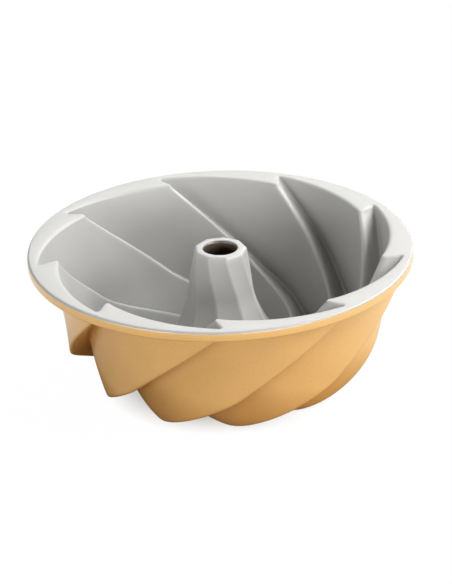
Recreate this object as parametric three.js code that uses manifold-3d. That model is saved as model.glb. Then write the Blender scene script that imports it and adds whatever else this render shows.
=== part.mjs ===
// Swirl-fluted tube pan: one aluminium casting, a nonstick lining inside and a gold coat outside.
// Millimetres, +Z up. The origin is the centre of the base, on the surface that the pan stands on.
import * as THREE from "three";
import { mergeVertices } from "three/addons/utils/BufferGeometryUtils.js";
import Module from "manifold-3d";

// Rim
const RIM_RADIUS = 130;
const RIM_HEIGHT = 98;
const RIM_THICKNESS = 7;
const RIM_LAND = 5.5; // narrowest flat, between a flute's root and the rim's edge
const RIM_EDGE_ROUND = 1.5;
const RIM_MOUTH_ROUND = 1.8; // rounding where the rim's flat turns down into the cavity
const RIM_UNDER_ROUND = 1; // rounding of the rim's lower edge

// Flutes: saw-toothed pleats that wind down the wall, across the floor and up the tube
const FLUTES = 9;
const FLUTE_DEPTH = 13.8; // crest to root, measured on the rim
const FIRST_CREST = 187.8; // angle of the first crest on the rim, in degrees

// Crest line and root line, as seen in a section through the axis
const CREST_LEAN = 21.5; // how far the line leans in between the rim and the wall's foot
const CREST_FOOT_HEIGHT = 42.5;
const CREST_FLOOR_HEIGHT = 21.6;
const ROOT_LEAN = 19.9;
const ROOT_FOOT_HEIGHT = 34.7;
const ROOT_FLOOR_HEIGHT = -0.1; // where the line would run, before its corner is rounded
const ROOT_FLOOR_INSET = 38; // from the wall's foot in to the lowest point

// Values at the stretches' ends: the rim, the wall's foot, the floor, the tube's foot and the tube's top
const WINDING_ABOVE = -21.2; // winding one stretch above the rim, which gives its slope there
const WINDING = [0, 35.5, 78, 88, 105]; // degrees, clockwise seen from above
const BOW = [0, -0.2, 0.25, 0.4, 0]; // bow of the long faces, as a share of the depth
const STEP_DRAFT = [2.9, 2.4, 0.4, 1.2, 0]; // degrees that the short faces lean, so that a cake comes out
const CREST_ROUND = [3.6, 3, 3, 3, 3];
const ROOT_ROUND = [1.8, 4.5, 4.5, 4.5, 4.5];
const LOBE_ROUND = [2.6, 4.8, 4.9, 4.9, 4.9]; // outside of a root
const GROOVE_ROUND = [1.2, 1.2, 1.5, 1.5, 1.5]; // outside of a crest

// Central tube, nine-sided outside and round inside
const TUBE_DROP = 1; // how far the tube's top lies below the rim
const TUBE_TOP_RADIUS = 18.2;
const TUBE_FOOT_RADIUS = 23;
const TUBE_FOOT_HEIGHT = 65;
const TUBE_BEVEL = 1.7;
const TUBE_CORNER_TRIM = 0.985; // share of the radius that is left at a trimmed corner
const BORE_RADIUS = 11.9;
const BORE_LENGTH = 6;
const BORE_ROUND = 0.6;

// Walls and coats
const WALL = 3.3;
const LINING = 0.04;
const GOLD_COAT = 0.05;
const BOND_LINE = 0.01; // gap kept between a coat and the casting
const COAT_SEAM = 0.4; // bare line where the two coats stop short of each other

const PITCH = (2 * Math.PI) / FLUTES;
const RAD = Math.PI / 180;
const { lerp, smoothstep, clamp } = THREE.MathUtils;

// The curve r, z of a crest or a root in four stretches: wall, floor, flare and tube.
function meridian(rim, foot, floor, sweep, run) {
  const wallWay = foot.clone().sub(rim).normalize();
  const tubeWay = tubeFoot.clone().sub(tubeTop).normalize();
  const wallPull = foot.clone().addScaledVector(wallWay, sweep * (foot.y - floor.y));
  const floorPull = new THREE.Vector2(lerp(floor.x, foot.x, run), floor.y);
  const flarePull = new THREE.Vector2((floor.x + tubeFoot.x) / 2, floor.y);
  const tubePull = tubeFoot.clone().addScaledVector(tubeWay, 0.3 * (tubeFoot.y - floor.y));
  return [
    new THREE.LineCurve(rim, foot),
    new THREE.CubicBezierCurve(foot, wallPull, floorPull, floor),
    new THREE.CubicBezierCurve(floor, flarePull, tubePull, tubeFoot),
    new THREE.LineCurve(tubeFoot, tubeTop),
  ];
}

const tubeHeight = RIM_HEIGHT - TUBE_DROP;
const tubeTop = new THREE.Vector2(TUBE_TOP_RADIUS, tubeHeight - TUBE_BEVEL);
const tubeFoot = new THREE.Vector2(TUBE_FOOT_RADIUS, TUBE_FOOT_HEIGHT);
const rootRim = new THREE.Vector2(RIM_RADIUS - RIM_LAND, RIM_HEIGHT);
const rootFoot = new THREE.Vector2(rootRim.x - ROOT_LEAN, ROOT_FOOT_HEIGHT);
const rootFloor = new THREE.Vector2(rootFoot.x - ROOT_FLOOR_INSET, ROOT_FLOOR_HEIGHT);
const crestRim = new THREE.Vector2(rootRim.x - FLUTE_DEPTH, RIM_HEIGHT);
const crestFoot = new THREE.Vector2(crestRim.x - CREST_LEAN, CREST_FOOT_HEIGHT);
const crestFloor = new THREE.Vector2((crestFoot.x + tubeFoot.x) / 2, CREST_FLOOR_HEIGHT);
const crestLine = meridian(crestRim, crestFoot, crestFloor, 0.86, 0.25);
const rootLine = meridian(rootRim, rootFoot, rootFloor, 0.456, 0.418);

// Values given at the stretches' ends, read smoothly in between.
function alongStretches(values, above = values[0]) {
  const stops = [above, ...values].map((value, i) => new THREE.Vector2(i, value));
  const curve = new THREE.SplineCurve(stops);
  return (stretch, t) => curve.getPoint((1 + stretch + t) / values.length).y;
}
const windingAt = alongStretches(WINDING, WINDING_ABOVE);
const bowAt = alongStretches(BOW);
const draftAt = alongStretches(STEP_DRAFT);
const innerRoundsAt = [CREST_ROUND, ROOT_ROUND].map((values) => alongStretches(values));
const outerRoundsAt = [GROOVE_ROUND, LOBE_ROUND].map((values) => alongStretches(values));

// A point of a meridian, moved out of the cavity by a distance square to the curve.
function offsetPoint(curve, t, distance) {
  const way = curve.getTangent(t);
  return curve.getPoint(t).add(new THREE.Vector2(-way.y, way.x).multiplyScalar(distance));
}

// Columns of one flute: round its crest, along its long face, round its root and back by the short face.
// Each has its share of the pitch and its share of the depth.
const COLUMNS = 8;
const ROUND_SPREAD = [0.2, 0.26, 0.33, 0.49, 0.75, 1, 1.08, 1.13]; // shares of the pitch on a round ring
const TUBE_SPREAD = [0, 0.04, 0.08, 0.36, 0.64, 0.89, 0.925, 0.96]; // shares of the pitch on the tube
function fluteColumns(depth, pitch, crestRound, rootRound, bow, draft) {
  const slope = Math.atan2(depth, pitch);
  const reach = (round) => Math.min(round / Math.tan((Math.PI / 2 - slope) / 2), 0.42 * depth);
  const crest = reach(crestRound);
  const root = reach(rootRound);
  const along = (length) => (length * Math.cos(slope)) / pitch;
  const up = (length) => (length * Math.sin(slope)) / depth;
  const shares = [
    [0, crest / depth],
    [along(crest) / 4, (crest / depth + up(crest)) / 4],
    [along(crest), up(crest)],
    [1 / 3, 1 / 3],
    [2 / 3, 2 / 3],
    [1 - along(root), 1 - up(root)],
    [1 - along(root) / 4, 1 - (root / depth + up(root)) / 4],
    [1, 1 - root / depth],
  ];
  return shares.map(([x, y]) => {
    const bowed = y + bow * x * (1 - x);
    return [x + (bowed * draft * RAD) / PITCH, bowed];
  });
}

// One ring of points round the pan. place(column) gives r, z and the angle from the flute's start.
function ring(place) {
  const points = [];
  for (let flute = 0; flute < FLUTES; flute++)
    for (let column = 0; column < COLUMNS; column++) {
      const { r, z, angle } = place(column);
      const theta = RAD * FIRST_CREST + flute * PITCH + angle;
      points.push(new THREE.Vector3(r * Math.cos(theta), r * Math.sin(theta), z));
    }
  return points;
}
function roundRing(r, z) {
  return ring((column) => ({ r, z, angle: ROUND_SPREAD[column] * PITCH }));
}
function boreRing(r, z) {
  const turn = -RAD * windingAt(3, 1);
  return ring((column) => ({ r, z, angle: turn + TUBE_SPREAD[column] * PITCH }));
}

// A ring on the pleated wall: side 0 is the cavity's face, side WALL is the outer face.
function pleatRing(stretch, t, side = 0) {
  const crest = offsetPoint(crestLine[stretch], t, side);
  const root = offsetPoint(rootLine[stretch], t, side);
  const depth = Math.max(crest.distanceTo(root), 1e-6);
  const radius = (crest.x + root.x) / 2;
  const rounds = (side ? outerRoundsAt : innerRoundsAt).map((roundAt) => roundAt(stretch, t));
  const columns = fluteColumns(depth, PITCH * radius, ...rounds, bowAt(stretch, t), draftAt(stretch, t));
  const onTube = smoothstep(stretch + t, 2, 3);
  const turn = -RAD * windingAt(stretch, t) + (side * (1 - onTube)) / radius;
  return ring((column) => {
    const [x, share] = columns[column];
    const spread = lerp(x, TUBE_SPREAD[column], onTube);
    const flatFace = Math.cos(PITCH / 2) / Math.cos((clamp(spread, 0, 1) - 0.5) * PITCH);
    const sided = lerp(1, Math.min(flatFace, TUBE_CORNER_TRIM), onTube);
    const r = sided * lerp(crest.x, root.x, share);
    return { r, z: lerp(crest.y, root.y, share), angle: turn + spread * PITCH };
  });
}

// A ring moved sideways into the metal, square to its own outline, and set at a height.
function spreadRing(points, distance, z) {
  const count = points.length;
  return points.map((point, i) => {
    const way = points[(i + 1) % count].clone().sub(points[(i + count - 1) % count]);
    const out = new THREE.Vector2(way.y, -way.x).setLength(distance);
    return new THREE.Vector3(point.x + out.x, point.y + out.y, z);
  });
}

// Rings of the cavity's face, from the bore's edge over the tube, the floor and the wall to the rim's edge.
const mouthStart = RIM_MOUTH_ROUND / (RIM_HEIGHT - CREST_FOOT_HEIGHT);
const mouth = pleatRing(0, mouthStart);
const cavityRings = [
  boreRing(BORE_RADIUS + BORE_ROUND, tubeHeight),
  spreadRing(pleatRing(3, 1), -TUBE_BEVEL, tubeHeight),
  ...[1, 0.5, 0].map((t) => pleatRing(3, t)),
  ...[0.7, 0.4, 0].map((t) => pleatRing(2, t)),
  ...[0.75, 0.5, 0.25, 0].map((t) => pleatRing(1, t)),
  ...[0.68, 0.36].map((t) => pleatRing(0, t)),
  mouth,
  spreadRing(mouth, RIM_MOUTH_ROUND, RIM_HEIGHT),
  roundRing(RIM_RADIUS - RIM_EDGE_ROUND, RIM_HEIGHT),
  roundRing(RIM_RADIUS, RIM_HEIGHT - RIM_EDGE_ROUND),
];

// Rings of the outer face, from the rim's edge down, under the base and up inside the tube to the bore.
const rimUnder = RIM_HEIGHT - RIM_THICKNESS;
const underStart = (RIM_THICKNESS + RIM_UNDER_ROUND) / (RIM_HEIGHT - CREST_FOOT_HEIGHT);
const outerRings = [
  roundRing(RIM_RADIUS, RIM_HEIGHT - RIM_EDGE_ROUND - COAT_SEAM),
  roundRing(RIM_RADIUS, rimUnder + RIM_UNDER_ROUND),
  roundRing(RIM_RADIUS - RIM_UNDER_ROUND, rimUnder),
  ...[underStart, 0.36, 0.68, 1].map((t) => pleatRing(0, t, WALL)),
  ...[0.25, 0.5, 0.75, 1].map((t) => pleatRing(1, t, WALL)),
  ...[0.4, 0.7, 1].map((t) => pleatRing(2, t, WALL)),
  pleatRing(3, 0.5, WALL),
  boreRing(BORE_RADIUS, tubeHeight - BORE_LENGTH),
  boreRing(BORE_RADIUS, tubeHeight - BORE_ROUND - COAT_SEAM),
];

// The nominal surface of the coated pan: a loop of rings, the last next to the first.
const nominal = [...cavityRings, ...outerRings];
const WIDTH = FLUTES * COLUMNS;

// Whether the shorter diagonal of a four-sided patch runs forward, from its first corner to its third.
function runsForward(level, column) {
  const [near, far] = [nominal[level], nominal[(level + 1) % nominal.length]];
  const next = (column + 1) % WIDTH;
  return near[column].distanceTo(far[next]) < near[next].distanceTo(far[column]);
}

// A closed skin over a loop of rings. A ring's level is the number of the nominal ring that it follows.
function skin(rings) {
  const index = [];
  rings.forEach(({ level: here }, row) => {
    const after = (row + 1) % rings.length;
    const there = rings[after].level;
    const outward = (here + 1) % nominal.length === there;
    for (let column = 0; column < WIDTH; column++) {
      const next = (column + 1) % WIDTH;
      const [a, b] = [row * WIDTH + column, row * WIDTH + next];
      const [c, d] = [after * WIDTH + next, after * WIDTH + column];
      const forward = runsForward(outward ? here : there, column);
      if (outward === forward) index.push(a, c, b, a, d, c);
      else index.push(a, d, b, b, d, c);
    }
  });
  const geometry = new THREE.BufferGeometry().setFromPoints(rings.flatMap(({ points }) => points));
  return geometry.setIndex(index);
}

// Rings of the nominal surface, moved in below it by a depth.
const nominalSkin = skin(nominal.map((points, level) => ({ points, level })));
nominalSkin.computeVertexNormals();
function sunkRings(first, count, depth) {
  const normals = nominalSkin.getAttribute("normal");
  return nominal.slice(first, first + count).map((points, row) => {
    const level = first + row;
    const sunk = points.map((point, column) => {
      const normal = new THREE.Vector3().fromBufferAttribute(normals, level * WIDTH + column);
      return point.clone().addScaledVector(normal, -depth);
    });
    return { level, points: sunk };
  });
}
function coat(first, count, thickness) {
  return skin([...sunkRings(first, count, 0), ...sunkRings(first, count, thickness).reverse()]);
}

// A boolean cut grinds the lowest lobes flat, through the coat, on the plane that the pan stands on.
const wasm = await Module();
wasm.setup();
function solidOf(geometry) {
  const bare = geometry.clone();
  bare.deleteAttribute("normal");
  bare.deleteAttribute("uv");
  const merged = mergeVertices(bare);
  return new wasm.Manifold(
    new wasm.Mesh({
      numProp: 3,
      vertProperties: new Float32Array(merged.getAttribute("position").array),
      triVerts: new Uint32Array(merged.index.array),
    }),
  );
}
function groundFlat(geometry) {
  const block = new THREE.BoxGeometry(2 * RIM_RADIUS, 2 * RIM_RADIUS, RIM_HEIGHT);
  block.translate(0, 0, -RIM_HEIGHT / 2);
  const mesh = solidOf(geometry).subtract(solidOf(block)).getMesh();
  const ground = new THREE.BufferGeometry();
  ground.setAttribute("position", new THREE.BufferAttribute(mesh.vertProperties, 3));
  return ground.setIndex(new THREE.BufferAttribute(mesh.triVerts, 1));
}

const aluminium = new THREE.MeshStandardMaterial({ color: 0xb9bbbd, roughness: 0.45, metalness: 1 });
const nonstick = new THREE.MeshStandardMaterial({ color: 0xb4b4b1, roughness: 0.42, metalness: 0.55 });
const gold = new THREE.MeshStandardMaterial({ color: 0xd3a55f, roughness: 0.4, metalness: 0.65 });

function piece(name, geometry, material) {
  const mesh = new THREE.Mesh(geometry, material);
  mesh.name = name;
  return mesh;
}

const cavityCount = cavityRings.length;
const outerCount = outerRings.length;
const castRings = [
  ...sunkRings(0, cavityCount, LINING + BOND_LINE),
  ...sunkRings(cavityCount, outerCount, GOLD_COAT + BOND_LINE),
];
const pan = new THREE.Group();
pan.add(piece("cast_pan", groundFlat(skin(castRings)), aluminium));
pan.add(piece("nonstick_lining", coat(0, cavityCount, LINING), nonstick));
pan.add(piece("gold_outer_coat", groundFlat(coat(cavityCount, outerCount, GOLD_COAT)), gold));

export default pan;
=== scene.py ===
"""Swirl-fluted tube pan: fine skins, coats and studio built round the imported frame. Metres, +Z up."""
import math

import bpy
import numpy as np
from mathutils import Matrix, Vector


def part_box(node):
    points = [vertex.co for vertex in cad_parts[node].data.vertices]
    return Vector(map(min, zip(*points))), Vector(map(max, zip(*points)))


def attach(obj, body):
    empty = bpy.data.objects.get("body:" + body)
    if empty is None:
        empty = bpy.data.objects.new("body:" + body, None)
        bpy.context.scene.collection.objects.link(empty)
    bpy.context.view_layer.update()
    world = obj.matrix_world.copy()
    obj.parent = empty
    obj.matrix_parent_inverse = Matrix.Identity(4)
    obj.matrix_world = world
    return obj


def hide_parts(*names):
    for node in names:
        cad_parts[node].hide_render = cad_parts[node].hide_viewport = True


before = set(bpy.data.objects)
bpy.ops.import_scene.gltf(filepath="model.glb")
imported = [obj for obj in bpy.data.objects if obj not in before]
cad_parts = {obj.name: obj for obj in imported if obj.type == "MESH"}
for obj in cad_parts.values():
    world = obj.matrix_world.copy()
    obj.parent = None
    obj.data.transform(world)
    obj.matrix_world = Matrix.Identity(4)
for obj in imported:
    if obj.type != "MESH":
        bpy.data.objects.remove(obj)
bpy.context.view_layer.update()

# Sizes read from the frame
lining_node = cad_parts["nonstick_lining"]
RIM_RADIUS = max(math.hypot(v.co.x, v.co.y) for v in lining_node.data.vertices)
RIM_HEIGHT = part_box("nonstick_lining")[1].z

# Unit
MM = 0.001

# Rim
RIM_THICKNESS = 7 * MM
RIM_LAND = 5.5 * MM
RIM_EDGE_ROUND = 1.7 * MM
RIM_COAT_BEND = math.radians(75)
EDGE_LEAN = 0.9
RIM_MOUTH_ROUND = 1.8 * MM
STEP_EDGE_EXTRA = 1.4 * MM
FACE_EDGE_EXTRA = 2 * MM
FACE_EDGE_SKEW = 0.6
RIM_UNDER_ROUND = 1 * MM
RIM_NECK_ROUND = 1 * MM

# Flutes
FLUTES = 9
PITCH = 2 * math.pi / FLUTES
FLUTE_DEPTH = 13.8 * MM
CREST_ROUND = (3.6 * MM, 4.6 * MM, 5 * MM, 4 * MM, 3 * MM)
CREST_PULL = 0.6
CREST_REACH = (1.4 * MM, 1.4 * MM, 1.2 * MM, 0.3 * MM, 0)
ROOT_ROUND = (1.8 * MM, 4.5 * MM, 4.5 * MM, 4.5 * MM, 4.5 * MM)
LOBE_ROUND = (2.6 * MM, 4.8 * MM, 4.9 * MM, 4.9 * MM, 4.9 * MM)
GROOVE_ROUND = (2.4 * MM, 1.2 * MM, 1.5 * MM, 1.5 * MM, 1.5 * MM)
FIRST_CREST = math.radians(187.8)

# Largest shares of a flute's depth that a rounding and a crest's reach may take, and the least depth
ROUND_LIMIT = 0.42
REACH_LIMIT = 0.1
LEAST_DEPTH = 1e-9

# Crest line and root line in a section through the axis
CREST_LEAN = 21.5 * MM
CREST_FOOT_HEIGHT = 42.5 * MM
CREST_FLOOR_HEIGHT = 21.6 * MM
ROOT_LEAN = 19.9 * MM
ROOT_FOOT_HEIGHT = 34.7 * MM
ROOT_FLOOR_HEIGHT = -0.1 * MM
ROOT_FLOOR_INSET = 38 * MM
CREST_SWEEP, CREST_RUN = 0.86, 0.25
ROOT_SWEEP, ROOT_RUN = 0.456, 0.418

# Values at the rim, the wall's foot, the floor, the tube's foot and the tube's top
# Winding in degrees, with one more stop first, above the rim, that gives its slope there
WINDING = (-21.2, 0, 35.5, 78, 88, 105)
# Bow of the long faces
BOW = (0, -0.2, 0.25, 0.4, 0)
# Lean of the short faces in degrees
STEP_DRAFT = (2.9, 2.4, 0.4, 1.2, 0)

# Tube
TUBE_DROP = 1 * MM
TUBE_TOP_RADIUS = 18.2 * MM
TUBE_FOOT_RADIUS = 23 * MM
TUBE_FOOT_HEIGHT = 65 * MM
TUBE_FLARE_PULL = 0.3
TUBE_BEVEL = 1.7 * MM
TUBE_BEVEL_BULGE = 0.12
TUBE_EDGE_SHARE = 0.08
TUBE_COLUMN_ENDS = (0, 0.08, 0.88, 0.96)
TUBE_HOLLOW_SHARE = 0.7
BORE_RADIUS = 11.9 * MM
BORE_LENGTH = 6 * MM
BORE_ROUND = 0.6 * MM

# Walls and coats
WALL = 3.3 * MM
LINING = 0.04 * MM
GOLD_COAT = 0.05 * MM
BOND_LINE = 0.01 * MM
COAT_SEAM = 0.25 * MM
GROUND = 0.0

# Fineness of the skins: columns in a crest, long face, root and step, and rows in each stretch
COLUMN_COUNTS = (9, 20, 9, 5)
ROW_COUNTS = (20, 22, 20, 12)
ROUND_ROWS = 5
UNDER_ROUND_ROWS = 4
BEVEL_ROWS = 4
BORE_ROUND_ROWS = 3
BORE_ROWS = 4
MERGE_DISTANCE = 0.002 * MM

# Colours and finish of the coats
BARE_COLOUR = (0.56, 0.56, 0.57)
GREY_COLOUR = (0.42, 0.417, 0.403)
GOLD_COLOUR = (0.77, 0.48, 0.17)
# Painted shade: dark colour given to the gold up inside the tube
TUBE_PAINTED_SHADE_COLOUR = (0.13, 0.1, 0.07)
GOLD_METALLIC = 0.45
LACQUER_WEIGHT = 0.9
LACQUER_ROUGHNESS = 0.28

# Where the gold is ground off the foot lands, and where painted shade darkens it up inside the tube
GROUND_OFF_HEIGHTS = (0.01 * MM, 0.03 * MM)
TUBE_PAINTED_SHADE_HEIGHTS = (35 * MM, 80 * MM)
TUBE_PAINTED_SHADE_RADII = (22 * MM, 26 * MM)

# Grain of the coats
NOISE_RANGE = (0.3, 0.7)
FINE_DETAIL = 2.0
BROAD_DETAIL = 3.0
PATCH_SCALE = 45.0
PATCH_CONTRAST = 0.02
FINE_ROUGHNESS = 0.03
BROAD_ROUGHNESS = 0.025
GRAIN_BUMP = 0.5

# Camera, fitted to the rim's ellipse in the photograph
IMAGE_HEIGHT_PX = 584
FOCAL_PX = 2712.66
SENSOR = 36.0
CAMERA_DISTANCE = 1.83043
CAMERA_AIM = 0.097
CAMERA_ELEVATION = 0.434005
CAMERA_ROLL = 0.0288117
CAMERA_PAN = 0.00170034
CAMERA_TILT = 0.0164781
CAMERA_REACH = 50

# World: fill for the coats, strength in reflections from the camera's side, and where that side begins
WORLD_FILL = 0.02
WORLD_FRONT = 0.2
WORLD_FRONT_FADE = (0.05, 0.7)

# Floor: its colour to the camera, and the colours that it returns in a painted shadow round a spot in
# front of the pan and far from it
FLOOR_WHITE = (0.95, 0.95, 0.95)
# Painted shadow: the light the floor returns round a spot in front of the pan is darker and warmer
FLOOR_PAINTED_SHADOW = (0.27, 0.145, 0.045)
FLOOR_FAR = (0.32, 0.27, 0.2)
FLOOR_HALF = 12
FLOOR_GAP = 0.2 * MM

# Glow of the floor to the camera and in reflections, which fades near the pan so that the lit floor shows
# there; in reflections it also dims round a spot in front of the pan, a painted shadow
FLOOR_GLOW = 0.99
CAMERA_GLOW_RADII = (0.04, 0.085)
MIRROR_GLOW_RADII = (0.1, 0.19)
PAINTED_SHADOW_SPOT = (-0.05, -0.15, 0)
PAINTED_SHADOW_GLOW = 0.5
PAINTED_SHADOW_GLOW_FADE = (0.16, 0.3)
PAINTED_SHADOW_BOUNCE_FADE = (0.17, 0.3)

# Soft boxes: name, place, width, height and watts
LAMP_AIM = (0, 0, 0.05)
LAMPS = (
    ("right_high", (1.3, -0.5, 1.1), 1.0, 1.0, 31.5),
    ("right_back", (1.2, 0.9, 1.0), 1.0, 1.0, 20.5),
    ("back_high", (0.0, 1.4, 1.3), 1.4, 1.0, 18.5),
    ("front_right", (0.8, -1.65, 0.34), 1.2, 0.5, 13),
    ("left_front", (-1.1, -1.4, 0.36), 1.0, 0.5, 11.5),
    ("left", (-1.5, -0.4, 0.8), 1.0, 1.0, 5),
)


# Profile of the pan

def bezier(points, t):
    """Point and tangent of a Bezier curve of two or four points, for an array of places t."""
    points = [np.asarray(point, float) for point in points]
    t = np.asarray(t, float)[..., None]
    if len(points) == 2:
        start, end = points
        return start + (end - start) * t, np.broadcast_to(end - start, t.shape[:-1] + (2,))
    a, b, c, d = points
    u = 1 - t
    place = a * u**3 + 3 * b * u**2 * t + 3 * c * u * t**2 + d * t**3
    tangent = 3 * (b - a) * u**2 + 6 * (c - b) * u * t + 3 * (d - c) * t**2
    return place, tangent


def smooth_read(values, x):
    """Value at x of a smooth curve through values at 0, 1, 2 and so on."""
    last = len(values) - 1
    i = min(int(x), last - 1)
    w = x - i
    before, here, there, after = (values[min(max(i + k, 0), last)] for k in (-1, 0, 1, 2))
    leave = (there - before) / 2
    arrive = (after - here) / 2
    cubic = 2 * here - 2 * there + leave + arrive
    square = 3 * there - 3 * here - 2 * leave - arrive
    return cubic * w**3 + square * w**2 + leave * w + here


def smooth_step(share):
    """Share from nought to one, eased at both ends."""
    return share**2 * (3 - 2 * share)


def unit(vector):
    return vector / np.linalg.norm(vector)


TUBE_HEIGHT = RIM_HEIGHT - TUBE_DROP
TUBE_TOP = np.array((TUBE_TOP_RADIUS, TUBE_HEIGHT - TUBE_BEVEL))
TUBE_FOOT = np.array((TUBE_FOOT_RADIUS, TUBE_FOOT_HEIGHT))


def meridian(rim, foot, floor, sweep, run):
    """Curve of a crest or a root in four stretches: wall, floor, flare and tube."""
    wall_pull = foot + unit(foot - rim) * sweep * (foot[1] - floor[1])
    floor_pull = (floor[0] + run * (foot[0] - floor[0]), floor[1])
    flare_pull = ((floor[0] + TUBE_FOOT_RADIUS) / 2, floor[1])
    tube_pull = TUBE_FOOT + unit(TUBE_FOOT - TUBE_TOP) * TUBE_FLARE_PULL * (TUBE_FOOT_HEIGHT - floor[1])
    return [
        (rim, foot),
        (foot, wall_pull, floor_pull, floor),
        (floor, flare_pull, tube_pull, TUBE_FOOT),
        (TUBE_FOOT, TUBE_TOP),
    ]


ROOT_RIM = np.array((RIM_RADIUS - RIM_LAND, RIM_HEIGHT))
ROOT_FOOT = np.array((ROOT_RIM[0] - ROOT_LEAN, ROOT_FOOT_HEIGHT))
ROOT_FLOOR = np.array((ROOT_FOOT[0] - ROOT_FLOOR_INSET, ROOT_FLOOR_HEIGHT))
CREST_RIM = np.array((ROOT_RIM[0] - FLUTE_DEPTH, RIM_HEIGHT))
CREST_FOOT = np.array((CREST_RIM[0] - CREST_LEAN, CREST_FOOT_HEIGHT))
CREST_FLOOR = np.array(((CREST_FOOT[0] + TUBE_FOOT_RADIUS) / 2, CREST_FLOOR_HEIGHT))
CREST_LINE = meridian(CREST_RIM, CREST_FOOT, CREST_FLOOR, CREST_SWEEP, CREST_RUN)
ROOT_LINE = meridian(ROOT_RIM, ROOT_FOOT, ROOT_FLOOR, ROOT_SWEEP, ROOT_RUN)


def offset_point(curve, t, distance):
    """Point of a meridian, moved out of the cavity square to the curve."""
    place, tangent = bezier(curve, t)
    way = unit(tangent)
    return place + distance * np.array((-way[1], way[0]))


def rounding(start, corner, end, count, pull=1.0):
    """Points on a rounded corner, tangent to both sides: a parabola, or a flatter arc with less pull."""
    t = np.linspace(0, 1, count)[:, None]
    leave, bend, arrive = (1 - t) ** 2, 2 * pull * t * (1 - t), t**2
    points = leave * np.array(start) + bend * np.array(corner) + arrive * np.array(end)
    return points / (leave + bend + arrive)


def flute_section(depth, pitch, crest_round, root_round, bow, draft, reach):
    """Section of one flute from its crest to the next: shares of the pitch and shares of the depth."""
    slope = math.atan2(depth, pitch)
    crest, root = (
        min(size / math.tan((math.pi / 2 - slope) / 2), ROUND_LIMIT * depth)
        for size in (crest_round, root_round)
    )
    along = math.cos(slope) / pitch
    up = math.sin(slope) / depth
    crest_columns, face_columns, root_columns, step_columns = COLUMN_COUNTS
    crest_end = np.array((crest * along, crest * up))
    root_start = np.array((1 - root * along, 1 - root * up))
    over_crest = rounding((0, crest / depth), (0, 0), crest_end, crest_columns, CREST_PULL)
    in_root = rounding(root_start, (1, 1), (1, 1 - root / depth), root_columns)
    t = np.linspace(0, 1, face_columns + 2)[1:-1, None]
    face = crest_end + (root_start - crest_end) * t
    t = np.linspace(0, 1, step_columns + 2)[1:, None]
    step = in_root[-1] + (np.array((1, crest / depth)) - in_root[-1]) * t
    section = np.concatenate((over_crest, face, in_root, step))
    x = np.clip(section[: -len(step), 0], 0, 1)
    section[: -len(step), 1] += bow * x * (1 - x)
    section[:, 1] -= reach / depth * (1 - section[:, 1])
    section[:, 0] += section[:, 1] * math.radians(draft) / PITCH
    section[-1, 0] = 1 + section[0, 0]
    section[-1, 1] = section[0, 1]
    return section


def column_spread(start, crest_end, root_start, root_end):
    """Shares of the pitch that the columns take where there is no pleat: ends of crest, face and root."""
    crest_columns, face_columns, root_columns, step_columns = COLUMN_COUNTS
    crest = np.linspace(start, crest_end, crest_columns)
    face = np.linspace(crest_end, root_start, face_columns + 2)[1:-1]
    root = np.linspace(root_start, root_end, root_columns)
    step = np.linspace(root_end, 1 + start, step_columns + 2)[1:]
    return np.concatenate((crest, face, root, step))


TUBE_SPREAD = column_spread(*TUBE_COLUMN_ENDS)
TUBE_ANGLES = TUBE_SPREAD * PITCH - math.radians(WINDING[-1])


def sided_radius(spread):
    """Radius of a nine-sided outline with rounded edges, as a share of its corners' radius."""
    from_edge = np.minimum(np.mod(spread, 1), 1 - np.mod(spread, 1))

    def face(share):
        return np.cos(PITCH / 2) / np.cos((share - 0.5) * PITCH)

    edge = face(TUBE_EDGE_SHARE)
    fall = edge * math.tan((TUBE_EDGE_SHARE - 0.5) * PITCH) * PITCH
    rounded = edge + fall * (from_edge**2 - TUBE_EDGE_SHARE**2) / (2 * TUBE_EDGE_SHARE)
    return np.where(from_edge < TUBE_EDGE_SHARE, rounded, face(from_edge))


# Rows of one flute: each column's r and z at the crest and the root, the share between them and the angle

def row(crest, root, share, angle):
    count = len(angle)
    return {
        "crest": np.broadcast_to(crest, (count, 2)).copy(),
        "root": np.broadcast_to(root, (count, 2)).copy(),
        "share": np.broadcast_to(share, count).copy(),
        "angle": np.asarray(angle, float),
    }


def round_row(r, z, angle):
    return row((r, z), (r, z), 0.0, angle)


def edge_angles(flat_row):
    """Angles on the rim's edge for a row's columns, leaning so that no two columns cross."""
    gap = RIM_RADIUS - radius_height(flat_row)[:, 0]
    return flat_row["angle"] + EDGE_LEAN * gap / RIM_RADIUS


def pleat_row(stretch, t, side=0.0):
    """Row on the pleated wall: side 0 is the cavity's face, side WALL is the outer face."""
    crest = offset_point(CREST_LINE[stretch], t, side)
    root = offset_point(ROOT_LINE[stretch], t, side)
    depth = max(np.linalg.norm(crest - root), LEAST_DEPTH)
    radius = (crest[0] + root[0]) / 2
    rounds = [
        smooth_read(values, stretch + t)
        for values in ((GROOVE_ROUND, LOBE_ROUND) if side else (CREST_ROUND, ROOT_ROUND))
    ]
    bow = smooth_read(BOW, stretch + t)
    draft = smooth_read(STEP_DRAFT, stretch + t)
    reach = 0 if side else min(smooth_read(CREST_REACH, stretch + t), REACH_LIMIT * depth)
    section = flute_section(depth, PITCH * radius, *rounds, bow, draft, reach)
    on_tube = smooth_step(np.clip(stretch + t - 2, 0, 1))
    spread = section[:, 0] + (TUBE_SPREAD - section[:, 0]) * on_tube
    sided = (1 + (sided_radius(spread) - 1) * on_tube)[:, None] * np.array((1, 0)) + np.array((0, 1))
    turn = -math.radians(smooth_read(WINDING, 1 + stretch + t)) + side * (1 - on_tube) / radius
    return row(crest * sided, root * sided, section[:, 1], turn + spread * PITCH)


def radius_height(source):
    """r and z of a row's points."""
    share = source["share"][:, None]
    return source["crest"] + (source["root"] - source["crest"]) * share


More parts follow.
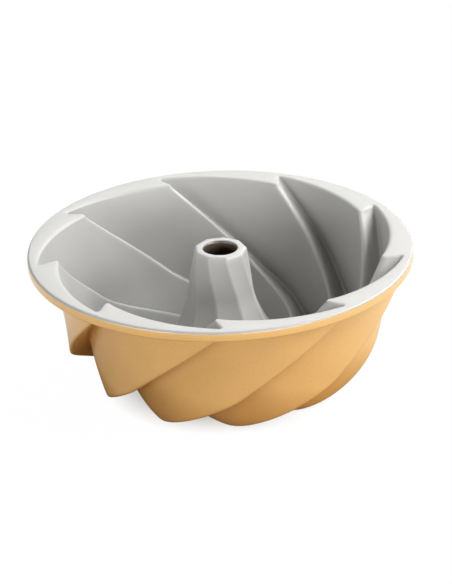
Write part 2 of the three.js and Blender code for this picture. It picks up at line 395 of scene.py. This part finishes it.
def spread_row(source, distance, z):
    """Row moved square to its own outline, by one distance or one per column, and set at a height."""
    r = radius_height(source)[:, 0]
    distance = np.broadcast_to(distance, len(r))
    loop_distance = np.concatenate((distance[:-1], distance[:-1], distance))[:, None]
    angle = source["angle"]
    loop_angle = np.concatenate((angle[:-1] - PITCH, angle[:-1], angle + PITCH))
    loop_r = np.concatenate((r[:-1], r[:-1], r))
    loop = np.stack((loop_r * np.cos(loop_angle), loop_r * np.sin(loop_angle)), axis=1)
    way = np.roll(loop, -1, axis=0) - np.roll(loop, 1, axis=0)
    out = np.stack((way[:, 1], -way[:, 0]), axis=1)
    out /= np.linalg.norm(out, axis=1)[:, None]
    moved = (loop + out * loop_distance)[len(r) - 1 : 2 * len(r) - 1]
    new_angle = np.arctan2(moved[:, 1], moved[:, 0])
    new_angle = angle + np.mod(new_angle - angle + math.pi, 2 * math.pi) - math.pi
    place = np.stack((np.linalg.norm(moved, axis=1), np.full(len(r), z)), axis=1)
    return row(place, place, 0.0, new_angle)


def quarter(count):
    """Angles of a quarter round, without its start."""
    return np.linspace(0, math.pi / 2, count + 1)[1:]


def stretch_rows(stretch, start, end, count, side=0.0):
    return [pleat_row(stretch, t, side) for t in np.linspace(start, end, count + 1)]


def step_share():
    """One at the deep end of the step, fading to nought at its crest and in the middle of the root."""
    crest_columns, face_columns, root_columns, step_columns = COLUMN_COUNTS
    on_root = np.clip(np.linspace(-1, 1, root_columns), 0, 1)
    on_step = np.linspace(1, 0, step_columns + 2)[1:]
    share = np.concatenate((np.zeros(crest_columns + face_columns), on_root, on_step))
    return smooth_step(share)


def face_share():
    """Nought off the long face, rising to one near its crest and falling again towards its root."""
    crest_columns, face_columns, root_columns, step_columns = COLUMN_COUNTS
    along = np.linspace(0, 1, face_columns + 2)[1:-1]
    on_face = np.sin(math.pi * along**FACE_EDGE_SKEW)
    after = np.zeros(root_columns + step_columns + 1)
    return np.concatenate((np.zeros(crest_columns), on_face, after))


def cavity_rows():
    """Rows from the bore's edge over the tube, the floor and the wall to the rim's outer edge."""
    wall_rows, floor_rows, flare_rows, tube_rows = ROW_COUNTS
    rows = []
    for bend in (0, *quarter(BORE_ROUND_ROWS)):
        r = BORE_RADIUS + BORE_ROUND * (1 - math.cos(bend))
        z = TUBE_HEIGHT - BORE_ROUND * (1 - math.sin(bend))
        rows.append(round_row(r, z, TUBE_ANGLES))
    tube_top = pleat_row(3, 1)
    for inward in np.linspace(1, 0, BEVEL_ROWS + 1)[:-1]:
        bulge = TUBE_BEVEL_BULGE * TUBE_BEVEL * math.sin(math.pi * inward)
        z = TUBE_HEIGHT - TUBE_BEVEL * (1 - inward) + bulge
        rows.append(spread_row(tube_top, -TUBE_BEVEL * inward + bulge, z))
    rows += stretch_rows(3, 1, 0, tube_rows)
    rows += stretch_rows(2, 1, 0, flare_rows)[1:]
    rows += stretch_rows(1, 1, 0, floor_rows)[1:]
    mouth_start = RIM_MOUTH_ROUND / (RIM_HEIGHT - CREST_FOOT_HEIGHT)
    rows += stretch_rows(0, 1, mouth_start, wall_rows)[1:]
    mouth = rows[-1]
    mouth_reach = RIM_MOUTH_ROUND + STEP_EDGE_EXTRA * step_share() + FACE_EDGE_EXTRA * face_share()
    for bend in quarter(ROUND_ROWS):
        out = mouth_reach * (1 - math.cos(bend))
        rows.append(spread_row(mouth, out, RIM_HEIGHT - RIM_MOUTH_ROUND * (1 - math.sin(bend))))
    rows += rim_edge_rows(0, RIM_COAT_BEND, edge_angles(rows[-1]))
    return rows


def rim_edge_rows(start, end, angles):
    """Rows on the rounded rim edge between two bends: 0 on the flat, a quarter turn on the side."""
    rows = []
    for bend in np.linspace(start, end, ROUND_ROWS):
        r = RIM_RADIUS - RIM_EDGE_ROUND * (1 - math.sin(bend))
        rows.append(round_row(r, RIM_HEIGHT - RIM_EDGE_ROUND * (1 - math.cos(bend)), angles))
    return rows


def outer_rows():
    """Rows from the rim's edge down the lobes, under the base and up inside the tube to the bore."""
    wall_rows, floor_rows, flare_rows, tube_rows = ROW_COUNTS
    under = RIM_HEIGHT - RIM_THICKNESS
    neck_start = (RIM_THICKNESS + RIM_NECK_ROUND) / (RIM_HEIGHT - CREST_FOOT_HEIGHT)
    neck = pleat_row(0, neck_start, WALL)
    neck_rows = []
    for bend in quarter(UNDER_ROUND_ROWS)[::-1]:
        out = RIM_NECK_ROUND * (1 - math.cos(bend))
        neck_rows.append(spread_row(neck, out, under - RIM_NECK_ROUND * (1 - math.sin(bend))))
    angles = edge_angles(neck_rows[0])
    rows = rim_edge_rows(RIM_COAT_BEND + COAT_SEAM / RIM_EDGE_ROUND, math.pi / 2, angles)
    for bend in (0, *quarter(UNDER_ROUND_ROWS)):
        r = RIM_RADIUS - RIM_UNDER_ROUND * (1 - math.cos(bend))
        rows.append(round_row(r, under + RIM_UNDER_ROUND * (1 - math.sin(bend)), angles))
    rows += neck_rows
    rows += stretch_rows(0, neck_start, 1, wall_rows, WALL)
    rows += stretch_rows(1, 0, 1, floor_rows, WALL)[1:]
    rows += stretch_rows(2, 0, 1, flare_rows, WALL)[1:]
    rows += stretch_rows(3, 0, TUBE_HOLLOW_SHARE, tube_rows, WALL)[1:]
    bore_top = TUBE_HEIGHT - BORE_ROUND - COAT_SEAM
    for z in np.linspace(TUBE_HEIGHT - BORE_LENGTH, bore_top, BORE_ROWS):
        rows.append(round_row(BORE_RADIUS, z, TUBE_ANGLES))
    return rows


def flute_sheet(name, rows, closed):
    """Flat sheet for one flute, rows by columns, with each point's place on the pan in its attributes."""
    columns = len(rows[0]["angle"])
    count = len(rows)
    points = [(j * MM, i * MM, 0) for i in range(count) for j in range(columns)]
    faces = []
    for i in range(count if closed else count - 1):
        after = (i + 1) % count
        for j in range(columns - 1):
            here, there = i * columns + j, after * columns + j
            faces.append((here, there, there + 1, here + 1))
    mesh = bpy.data.meshes.new(name)
    mesh.from_pydata(points, [], faces)
    for key in ("crest", "root"):
        values = np.concatenate([source[key] for source in rows])
        values = np.column_stack((values, np.zeros(len(values)))).astype(np.float32)
        mesh.attributes.new(key, "FLOAT_VECTOR", "POINT").data.foreach_set("vector", values.ravel())
    for key in ("share", "angle"):
        values = np.concatenate([source[key] for source in rows]).astype(np.float32)
        mesh.attributes.new(key, "FLOAT", "POINT").data.foreach_set("value", values)
    return mesh


# Helpers for nodes

# Places of a Mix node's two values and result, which have the same names for every kind
MIX_PLACES = {"FLOAT": (2, 3, 0), "VECTOR": (4, 5, 1), "RGBA": (6, 7, 2)}


def feed(links, value, socket):
    """Links a socket to another one, or gives it a plain value."""
    if isinstance(value, bpy.types.NodeSocket):
        links.new(value, socket)
    else:
        socket.default_value = value


def math_node(nodes, links, operation, *values):
    node = nodes.new("ShaderNodeMath")
    node.operation = operation
    for value, socket in zip(values, node.inputs):
        feed(links, value, socket)
    return node.outputs[0]


def mix_node(nodes, links, kind, share, first, second):
    """Value between a first and a second one, by a share."""
    node = nodes.new("ShaderNodeMix")
    node.data_type = kind
    first_place, second_place, result_place = MIX_PLACES[kind]
    feed(links, share, node.inputs[0])
    feed(links, first, node.inputs[first_place])
    feed(links, second, node.inputs[second_place])
    return node.outputs[result_place]


def blend_colour(nodes, links, share, first, second):
    """Colour between two, each of them a link or three plain values."""
    ends = [end if isinstance(end, bpy.types.NodeSocket) else (*end, 1) for end in (first, second)]
    return mix_node(nodes, links, "RGBA", share, *ends)


def ramp(nodes, links, value, start, end, low, high):
    """Value that runs from low to high while another runs from start to end."""
    node = nodes.new("ShaderNodeMapRange")
    for name, bound in (("From Min", start), ("From Max", end), ("To Min", low), ("To Max", high)):
        feed(links, bound, node.inputs[name])
    links.new(value, node.inputs["Value"])
    return node.outputs[0]


# Geometry Nodes: wrap one flute's sheet onto the pan and repeat it round the axis

def pleat_wrap_tree():
    tree = bpy.data.node_groups.new("pleat_wrap", "GeometryNodeTree")
    sockets = tree.interface
    sockets.new_socket("Geometry", in_out="INPUT", socket_type="NodeSocketGeometry")
    for name, kind, value in (
        ("Flutes", "NodeSocketInt", FLUTES),
        ("First Crest", "NodeSocketFloat", FIRST_CREST),
        ("Ground", "NodeSocketFloat", GROUND),
        ("Sink", "NodeSocketFloat", 0.0),
        ("Merge Distance", "NodeSocketFloat", MERGE_DISTANCE),
    ):
        sockets.new_socket(name, in_out="INPUT", socket_type=kind).default_value = value
    sockets.new_socket("Material", in_out="INPUT", socket_type="NodeSocketMaterial")
    sockets.new_socket("Geometry", in_out="OUTPUT", socket_type="NodeSocketGeometry")
    nodes = tree.nodes
    sizes = nodes.new("NodeGroupInput").outputs

    def link(value, socket):
        feed(tree.links, value, socket)

    def maths(operation, *values):
        return math_node(nodes, tree.links, operation, *values)

    def attribute(name, kind):
        node = nodes.new("GeometryNodeInputNamedAttribute")
        node.data_type = kind
        node.inputs["Name"].default_value = name
        return node.outputs["Attribute"]

    def xyz(vector):
        node = nodes.new("ShaderNodeSeparateXYZ")
        link(vector, node.inputs[0])
        return node.outputs

    def vector(x, y, z):
        node = nodes.new("ShaderNodeCombineXYZ")
        for value, socket in zip((x, y, z), node.inputs):
            link(value, socket)
        return node.outputs[0]

    share = attribute("share", "FLOAT")
    ends = attribute("crest", "FLOAT_VECTOR"), attribute("root", "FLOAT_VECTOR")
    between = mix_node(nodes, tree.links, "VECTOR", share, *ends)
    between.node.clamp_factor = False
    radius, height, _ = xyz(between)
    angle = maths("ADD", sizes["First Crest"], attribute("angle", "FLOAT"))
    x = maths("MULTIPLY", radius, maths("COSINE", angle))
    y = maths("MULTIPLY", radius, maths("SINE", angle))
    z = maths("MAXIMUM", height, sizes["Ground"])

    wrap = nodes.new("GeometryNodeSetPosition")
    link(sizes["Geometry"], wrap.inputs["Geometry"])
    link(vector(x, y, z), wrap.inputs["Position"])

    stations = nodes.new("GeometryNodePoints")
    link(sizes["Flutes"], stations.inputs["Count"])
    index = nodes.new("GeometryNodeInputIndex").outputs[0]
    turn = maths("MULTIPLY", index, maths("DIVIDE", math.tau, sizes["Flutes"]))
    copies = nodes.new("GeometryNodeInstanceOnPoints")
    link(stations.outputs[0], copies.inputs["Points"])
    link(wrap.outputs[0], copies.inputs["Instance"])
    link(vector(0.0, 0.0, turn), copies.inputs["Rotation"])

    whole = nodes.new("GeometryNodeRealizeInstances")
    link(copies.outputs[0], whole.inputs[0])
    merge = nodes.new("GeometryNodeMergeByDistance")
    link(whole.outputs[0], merge.inputs["Geometry"])
    link(sizes["Merge Distance"], merge.inputs["Distance"])

    scale = nodes.new("ShaderNodeVectorMath")
    scale.operation = "SCALE"
    link(nodes.new("GeometryNodeInputNormal").outputs[0], scale.inputs[0])
    link(maths("MULTIPLY", sizes["Sink"], -1.0), scale.inputs["Scale"])
    sink = nodes.new("GeometryNodeSetPosition")
    link(merge.outputs[0], sink.inputs["Geometry"])
    link(scale.outputs[0], sink.inputs["Offset"])

    smooth = nodes.new("GeometryNodeSetShadeSmooth")
    link(sink.outputs[0], smooth.inputs["Geometry"])
    finish = nodes.new("GeometryNodeSetMaterial")
    link(smooth.outputs[0], finish.inputs["Geometry"])
    link(sizes["Material"], finish.inputs["Material"])
    result = nodes.new("NodeGroupOutput")
    link(finish.outputs[0], result.inputs[0])
    return tree


def make_plain(piece):
    """Gives the piece its evaluated mesh and removes its modifiers and helper attributes."""
    bpy.context.view_layer.update()
    evaluated = piece.evaluated_get(bpy.context.evaluated_depsgraph_get())
    mesh = bpy.data.meshes.new_from_object(evaluated)
    piece.modifiers.clear()
    piece.data = mesh
    for key in ("crest", "root", "share", "angle"):
        if key in mesh.attributes:
            mesh.attributes.remove(mesh.attributes[key])


def wrapped_piece(name, rows, material, closed=False, sink=0.0, thickness=0.0):
    """A skin of the pan: one flute's sheet, wrapped and repeated, then given its thickness inwards."""
    piece = bpy.data.objects.new(name, flute_sheet(name + "_sheet", rows, closed))
    bpy.context.scene.collection.objects.link(piece)
    modifier = piece.modifiers.new("pleat_wrap", "NODES")
    modifier.node_group = PLEAT_WRAP
    for item in PLEAT_WRAP.interface.items_tree:
        if item.in_out == "INPUT" and item.name == "Sink":
            modifier[item.identifier] = sink
        if item.in_out == "INPUT" and item.name == "Material":
            modifier[item.identifier] = material
    if thickness:
        solid = piece.modifiers.new("thickness", "SOLIDIFY")
        solid.thickness = thickness
        solid.offset = -1
    make_plain(piece)
    return piece


# Materials

def coat_grain_group():
    """Fine grain of a sprayed or cast surface: a shade near one, a roughness shift and a normal."""
    group = bpy.data.node_groups.new("coat_grain", "ShaderNodeTree")
    sockets = group.interface
    for name in ("Grain", "Patch", "Contrast", "Depth"):
        sockets.new_socket(name, in_out="INPUT", socket_type="NodeSocketFloat")
    sockets.new_socket("Shade", in_out="OUTPUT", socket_type="NodeSocketFloat")
    sockets.new_socket("Roughness Shift", in_out="OUTPUT", socket_type="NodeSocketFloat")
    sockets.new_socket("Normal", in_out="OUTPUT", socket_type="NodeSocketVector")
    nodes, links = group.nodes, group.links
    sizes = nodes.new("NodeGroupInput").outputs
    result = nodes.new("NodeGroupOutput").inputs
    place = nodes.new("ShaderNodeTexCoord").outputs["Object"]

    def noise(scale, detail):
        node = nodes.new("ShaderNodeTexNoise")
        node.inputs["Detail"].default_value = detail
        links.new(place, node.inputs["Vector"])
        links.new(scale, node.inputs["Scale"])
        return node.outputs["Fac"]

    def maths(operation, *values):
        return math_node(nodes, links, operation, *values)

    def shift(value, reach):
        """Noise as a shift of up to a reach either way."""
        return ramp(nodes, links, value, *NOISE_RANGE, maths("MULTIPLY", reach, -1.0), reach)

    fine = noise(sizes["Grain"], FINE_DETAIL)
    broad = noise(sizes["Patch"], BROAD_DETAIL)
    speck = shift(fine, sizes["Contrast"])
    patch = shift(broad, PATCH_CONTRAST)
    links.new(maths("ADD", maths("ADD", speck, patch), 1.0), result["Shade"])
    roughness = maths("ADD", shift(fine, FINE_ROUGHNESS), shift(broad, BROAD_ROUGHNESS))
    links.new(roughness, result["Roughness Shift"])
    bump = nodes.new("ShaderNodeBump")
    bump.inputs["Strength"].default_value = GRAIN_BUMP
    links.new(sizes["Depth"], bump.inputs["Distance"])
    links.new(fine, bump.inputs["Height"])
    links.new(bump.outputs[0], result["Normal"])
    return group


COAT_GRAIN = coat_grain_group()


def grained_material(name, base, metallic, roughness, grain, contrast, depth):
    """Principled material whose colour, roughness and normal carry the fine grain."""
    material = bpy.data.materials.new(name)
    material.use_nodes = True
    nodes, links = material.node_tree.nodes, material.node_tree.links
    shader = nodes["Principled BSDF"]
    shader.inputs["Metallic"].default_value = metallic
    surface = nodes.new("ShaderNodeGroup")
    surface.node_tree = COAT_GRAIN
    surface.inputs["Grain"].default_value = grain
    surface.inputs["Patch"].default_value = PATCH_SCALE
    surface.inputs["Contrast"].default_value = contrast
    surface.inputs["Depth"].default_value = depth
    colour = nodes.new("ShaderNodeVectorMath")
    colour.operation = "SCALE"
    colour.inputs[0].default_value = base
    links.new(surface.outputs["Shade"], colour.inputs["Scale"])
    links.new(colour.outputs[0], shader.inputs["Base Color"])
    rough = math_node(nodes, links, "ADD", surface.outputs["Roughness Shift"], roughness)
    links.new(rough, shader.inputs["Roughness"])
    links.new(surface.outputs["Normal"], shader.inputs["Normal"])
    return material


def height_and_radius(nodes, links):
    """Object height and distance from the axis."""
    place = nodes.new("ShaderNodeTexCoord")
    parts = nodes.new("ShaderNodeSeparateXYZ")
    links.new(place.outputs["Object"], parts.inputs[0])
    flat = nodes.new("ShaderNodeVectorMath")
    flat.operation = "MULTIPLY"
    flat.inputs[1].default_value = (1, 1, 0)
    links.new(place.outputs["Object"], flat.inputs[0])
    length = nodes.new("ShaderNodeVectorMath")
    length.operation = "LENGTH"
    links.new(flat.outputs[0], length.inputs[0])
    return parts.outputs["Z"], length.outputs["Value"]


def distance_from(nodes, links, point):
    """Distance of the object's points from one point."""
    place = nodes.new("ShaderNodeTexCoord")
    gap = nodes.new("ShaderNodeVectorMath")
    gap.operation = "DISTANCE"
    gap.inputs[1].default_value = point
    links.new(place.outputs["Object"], gap.inputs[0])
    return gap.outputs["Value"]


def finish_gold(material):
    """The gold is ground off the foot lands, darkened by painted shade up inside the tube and glossed by
    a lacquer.
    """
    nodes, links = material.node_tree.nodes, material.node_tree.links
    shader = nodes["Principled BSDF"]
    height, radius = height_and_radius(nodes, links)
    paint = shader.inputs["Base Color"].links[0].from_socket
    ground = ramp(nodes, links, height, *GROUND_OFF_HEIGHTS, 1, 0)
    # Painted shade: the gold darkens up inside the tube, above these heights and within these radii
    up = ramp(nodes, links, height, *TUBE_PAINTED_SHADE_HEIGHTS, 0, 1)
    near = ramp(nodes, links, radius, *TUBE_PAINTED_SHADE_RADII, 1, 0)
    tube_shade = math_node(nodes, links, "MULTIPLY", up, near)
    shaded_paint = blend_colour(nodes, links, tube_shade, paint, TUBE_PAINTED_SHADE_COLOUR)
    links.new(blend_colour(nodes, links, ground, shaded_paint, BARE_COLOUR), shader.inputs["Base Color"])
    metal = math_node(nodes, links, "MAXIMUM", ground, GOLD_METALLIC)
    links.new(metal, shader.inputs["Metallic"])
    shader.inputs["Coat Weight"].default_value = LACQUER_WEIGHT
    shader.inputs["Coat Roughness"].default_value = LACQUER_ROUGHNESS


bare_metal = grained_material(
    "bare_cast_aluminium", BARE_COLOUR, metallic=1.0, roughness=0.42,
    grain=1500, contrast=0.1, depth=0.02 * MM,
)
grey_nonstick = grained_material(
    "grey_nonstick", GREY_COLOUR, metallic=0.2, roughness=0.55,
    grain=3000, contrast=0.04, depth=0.006 * MM,
)
gold_paint = grained_material(
    "satin_gold", GOLD_COLOUR, metallic=GOLD_METALLIC, roughness=0.5,
    grain=2200, contrast=0.1, depth=0.012 * MM,
)
finish_gold(gold_paint)

# Pieces

PLEAT_WRAP = pleat_wrap_tree()
inside = cavity_rows()
outside = outer_rows()
casting = wrapped_piece("casting", inside + outside, bare_metal, closed=True, sink=GOLD_COAT + BOND_LINE)
lining = wrapped_piece("lining", inside, grey_nonstick, thickness=LINING)
outer_coat = wrapped_piece("outer_coat", outside, gold_paint, thickness=GOLD_COAT)
for piece, node, slot in (
    (casting, "cast_pan", "cast_metal"),
    (lining, "nonstick_lining", "lining"),
    (outer_coat, "gold_outer_coat", "outer_coat"),
):
    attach(piece, "root")
    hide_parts(node)

# Studio

def camera_axes():
    """Camera's right, up and back directions, from its elevation and its small pan, tilt and roll."""
    back = Vector((0, -math.cos(CAMERA_ELEVATION), math.sin(CAMERA_ELEVATION)))
    right = Vector((1, 0, 0))
    rows = Matrix((right, back.cross(right), back))
    pan = Matrix.Rotation(CAMERA_PAN, 3, "Y")
    tilt = Matrix.Rotation(CAMERA_TILT, 3, "X")
    roll = Matrix.Rotation(CAMERA_ROLL, 3, "Z")
    return back, (roll @ tilt @ pan @ rows).transposed()


def add_camera():
    data = bpy.data.cameras.new("camera")
    data.sensor_width = SENSOR
    data.lens = FOCAL_PX * SENSOR / IMAGE_HEIGHT_PX
    data.clip_end = CAMERA_REACH
    camera = bpy.data.objects.new("camera", data)
    bpy.context.scene.collection.objects.link(camera)
    back, axes = camera_axes()
    place = back * CAMERA_DISTANCE + Vector((0, 0, CAMERA_AIM))
    camera.matrix_world = Matrix.Translation(place) @ axes.to_4x4()
    bpy.context.scene.camera = camera


def add_softbox(name, place, width, height, power):
    data = bpy.data.lights.new(name, "AREA")
    data.shape = "RECTANGLE"
    data.size = width
    data.size_y = height
    data.energy = power
    lamp = bpy.data.objects.new(name, data)
    bpy.context.scene.collection.objects.link(lamp)
    lamp.location = place
    lamp.rotation_euler = (Vector(LAMP_AIM) - Vector(place)).to_track_quat("-Z", "Y").to_euler()


def ray_share(nodes, links, *kinds):
    """One where a ray of one of the named kinds arrives, else nought."""
    path = nodes.new("ShaderNodeLightPath")
    share = path.outputs[kinds[0]]
    for kind in kinds[1:]:
        share = math_node(nodes, links, "MAXIMUM", share, path.outputs[kind])
    return share


def add_world():
    """White to the camera, a low fill, and reflections that are dimmer on the camera's side."""
    world = bpy.data.worlds.new("studio")
    bpy.context.scene.world = world
    world.use_nodes = True
    nodes, links = world.node_tree.nodes, world.node_tree.links
    nodes.clear()
    incoming = nodes.new("ShaderNodeNewGeometry")
    parts = nodes.new("ShaderNodeSeparateXYZ")
    links.new(incoming.outputs["Incoming"], parts.inputs[0])
    mirrored = ramp(nodes, links, parts.outputs["Y"], *WORLD_FRONT_FADE, 1.0, WORLD_FRONT)
    glossy = ray_share(nodes, links, "Is Glossy Ray")
    seen = ray_share(nodes, links, "Is Camera Ray", "Is Transmission Ray")
    shade = mix_node(nodes, links, "FLOAT", glossy, WORLD_FILL, mirrored)
    background = nodes.new("ShaderNodeBackground")
    background.inputs["Color"].default_value = (1, 1, 1, 1)
    links.new(mix_node(nodes, links, "FLOAT", seen, shade, 1.0), background.inputs["Strength"])
    links.new(background.outputs[0], nodes.new("ShaderNodeOutputWorld").inputs[0])


def add_floor():
    """Floor that is white to the camera and keeps the pan's shadow, and returns a dim warm light, with a
    painted shadow round a spot in front of the pan in that light and in reflections.
    """
    material = bpy.data.materials.new("floor_white")
    material.use_nodes = True
    nodes, links = material.node_tree.nodes, material.node_tree.links
    nodes.clear()
    _, radius = height_and_radius(nodes, links)
    from_shadow_spot = distance_from(nodes, links, PAINTED_SHADOW_SPOT)
    seen = ray_share(nodes, links, "Is Camera Ray", "Is Transmission Ray")
    glossy = ray_share(nodes, links, "Is Glossy Ray")
    matte = nodes.new("ShaderNodeBsdfDiffuse")
    # Painted shadow: the returned light is darker and warmer round a spot in front of the pan
    far = ramp(nodes, links, from_shadow_spot, *PAINTED_SHADOW_BOUNCE_FADE, 0, 1)
    bounce = blend_colour(nodes, links, far, FLOOR_PAINTED_SHADOW, FLOOR_FAR)
    links.new(blend_colour(nodes, links, seen, bounce, FLOOR_WHITE), matte.inputs["Color"])
    glow = nodes.new("ShaderNodeEmission")
    glow.inputs["Strength"].default_value = 1.0
    camera_glow = ramp(nodes, links, radius, *CAMERA_GLOW_RADII, 0, FLOOR_GLOW)
    for_camera = math_node(nodes, links, "MULTIPLY", seen, camera_glow)
    outside_glow = ramp(nodes, links, radius, *MIRROR_GLOW_RADII, 0, FLOOR_GLOW)
    # Painted shadow: the glow in reflections dims round a spot in front of the pan
    painted_shadow = ramp(nodes, links, from_shadow_spot, *PAINTED_SHADOW_GLOW_FADE, PAINTED_SHADOW_GLOW, 1)
    mirror_glow = math_node(nodes, links, "MULTIPLY", outside_glow, painted_shadow)
    for_mirror = math_node(nodes, links, "MULTIPLY", glossy, mirror_glow)
    mix = nodes.new("ShaderNodeMixShader")
    links.new(math_node(nodes, links, "ADD", for_camera, for_mirror), mix.inputs[0])
    links.new(matte.outputs[0], mix.inputs[1])
    links.new(glow.outputs[0], mix.inputs[2])
    links.new(mix.outputs[0], nodes.new("ShaderNodeOutputMaterial").inputs[0])
    mesh = bpy.data.meshes.new("floor")
    corners = [(x * FLOOR_HALF, y * FLOOR_HALF, 0) for x, y in ((-1, -1), (1, -1), (1, 1), (-1, 1))]
    mesh.from_pydata(corners, [], [(0, 1, 2, 3)])
    mesh.materials.append(material)
    floor = bpy.data.objects.new("floor", mesh)
    bpy.context.scene.collection.objects.link(floor)
    floor.location.z = -FLOOR_GAP


add_camera()
add_world()
add_floor()
for lamp in LAMPS:
    add_softbox(*lamp)

bpy.context.scene.view_settings.view_transform = "Standard"
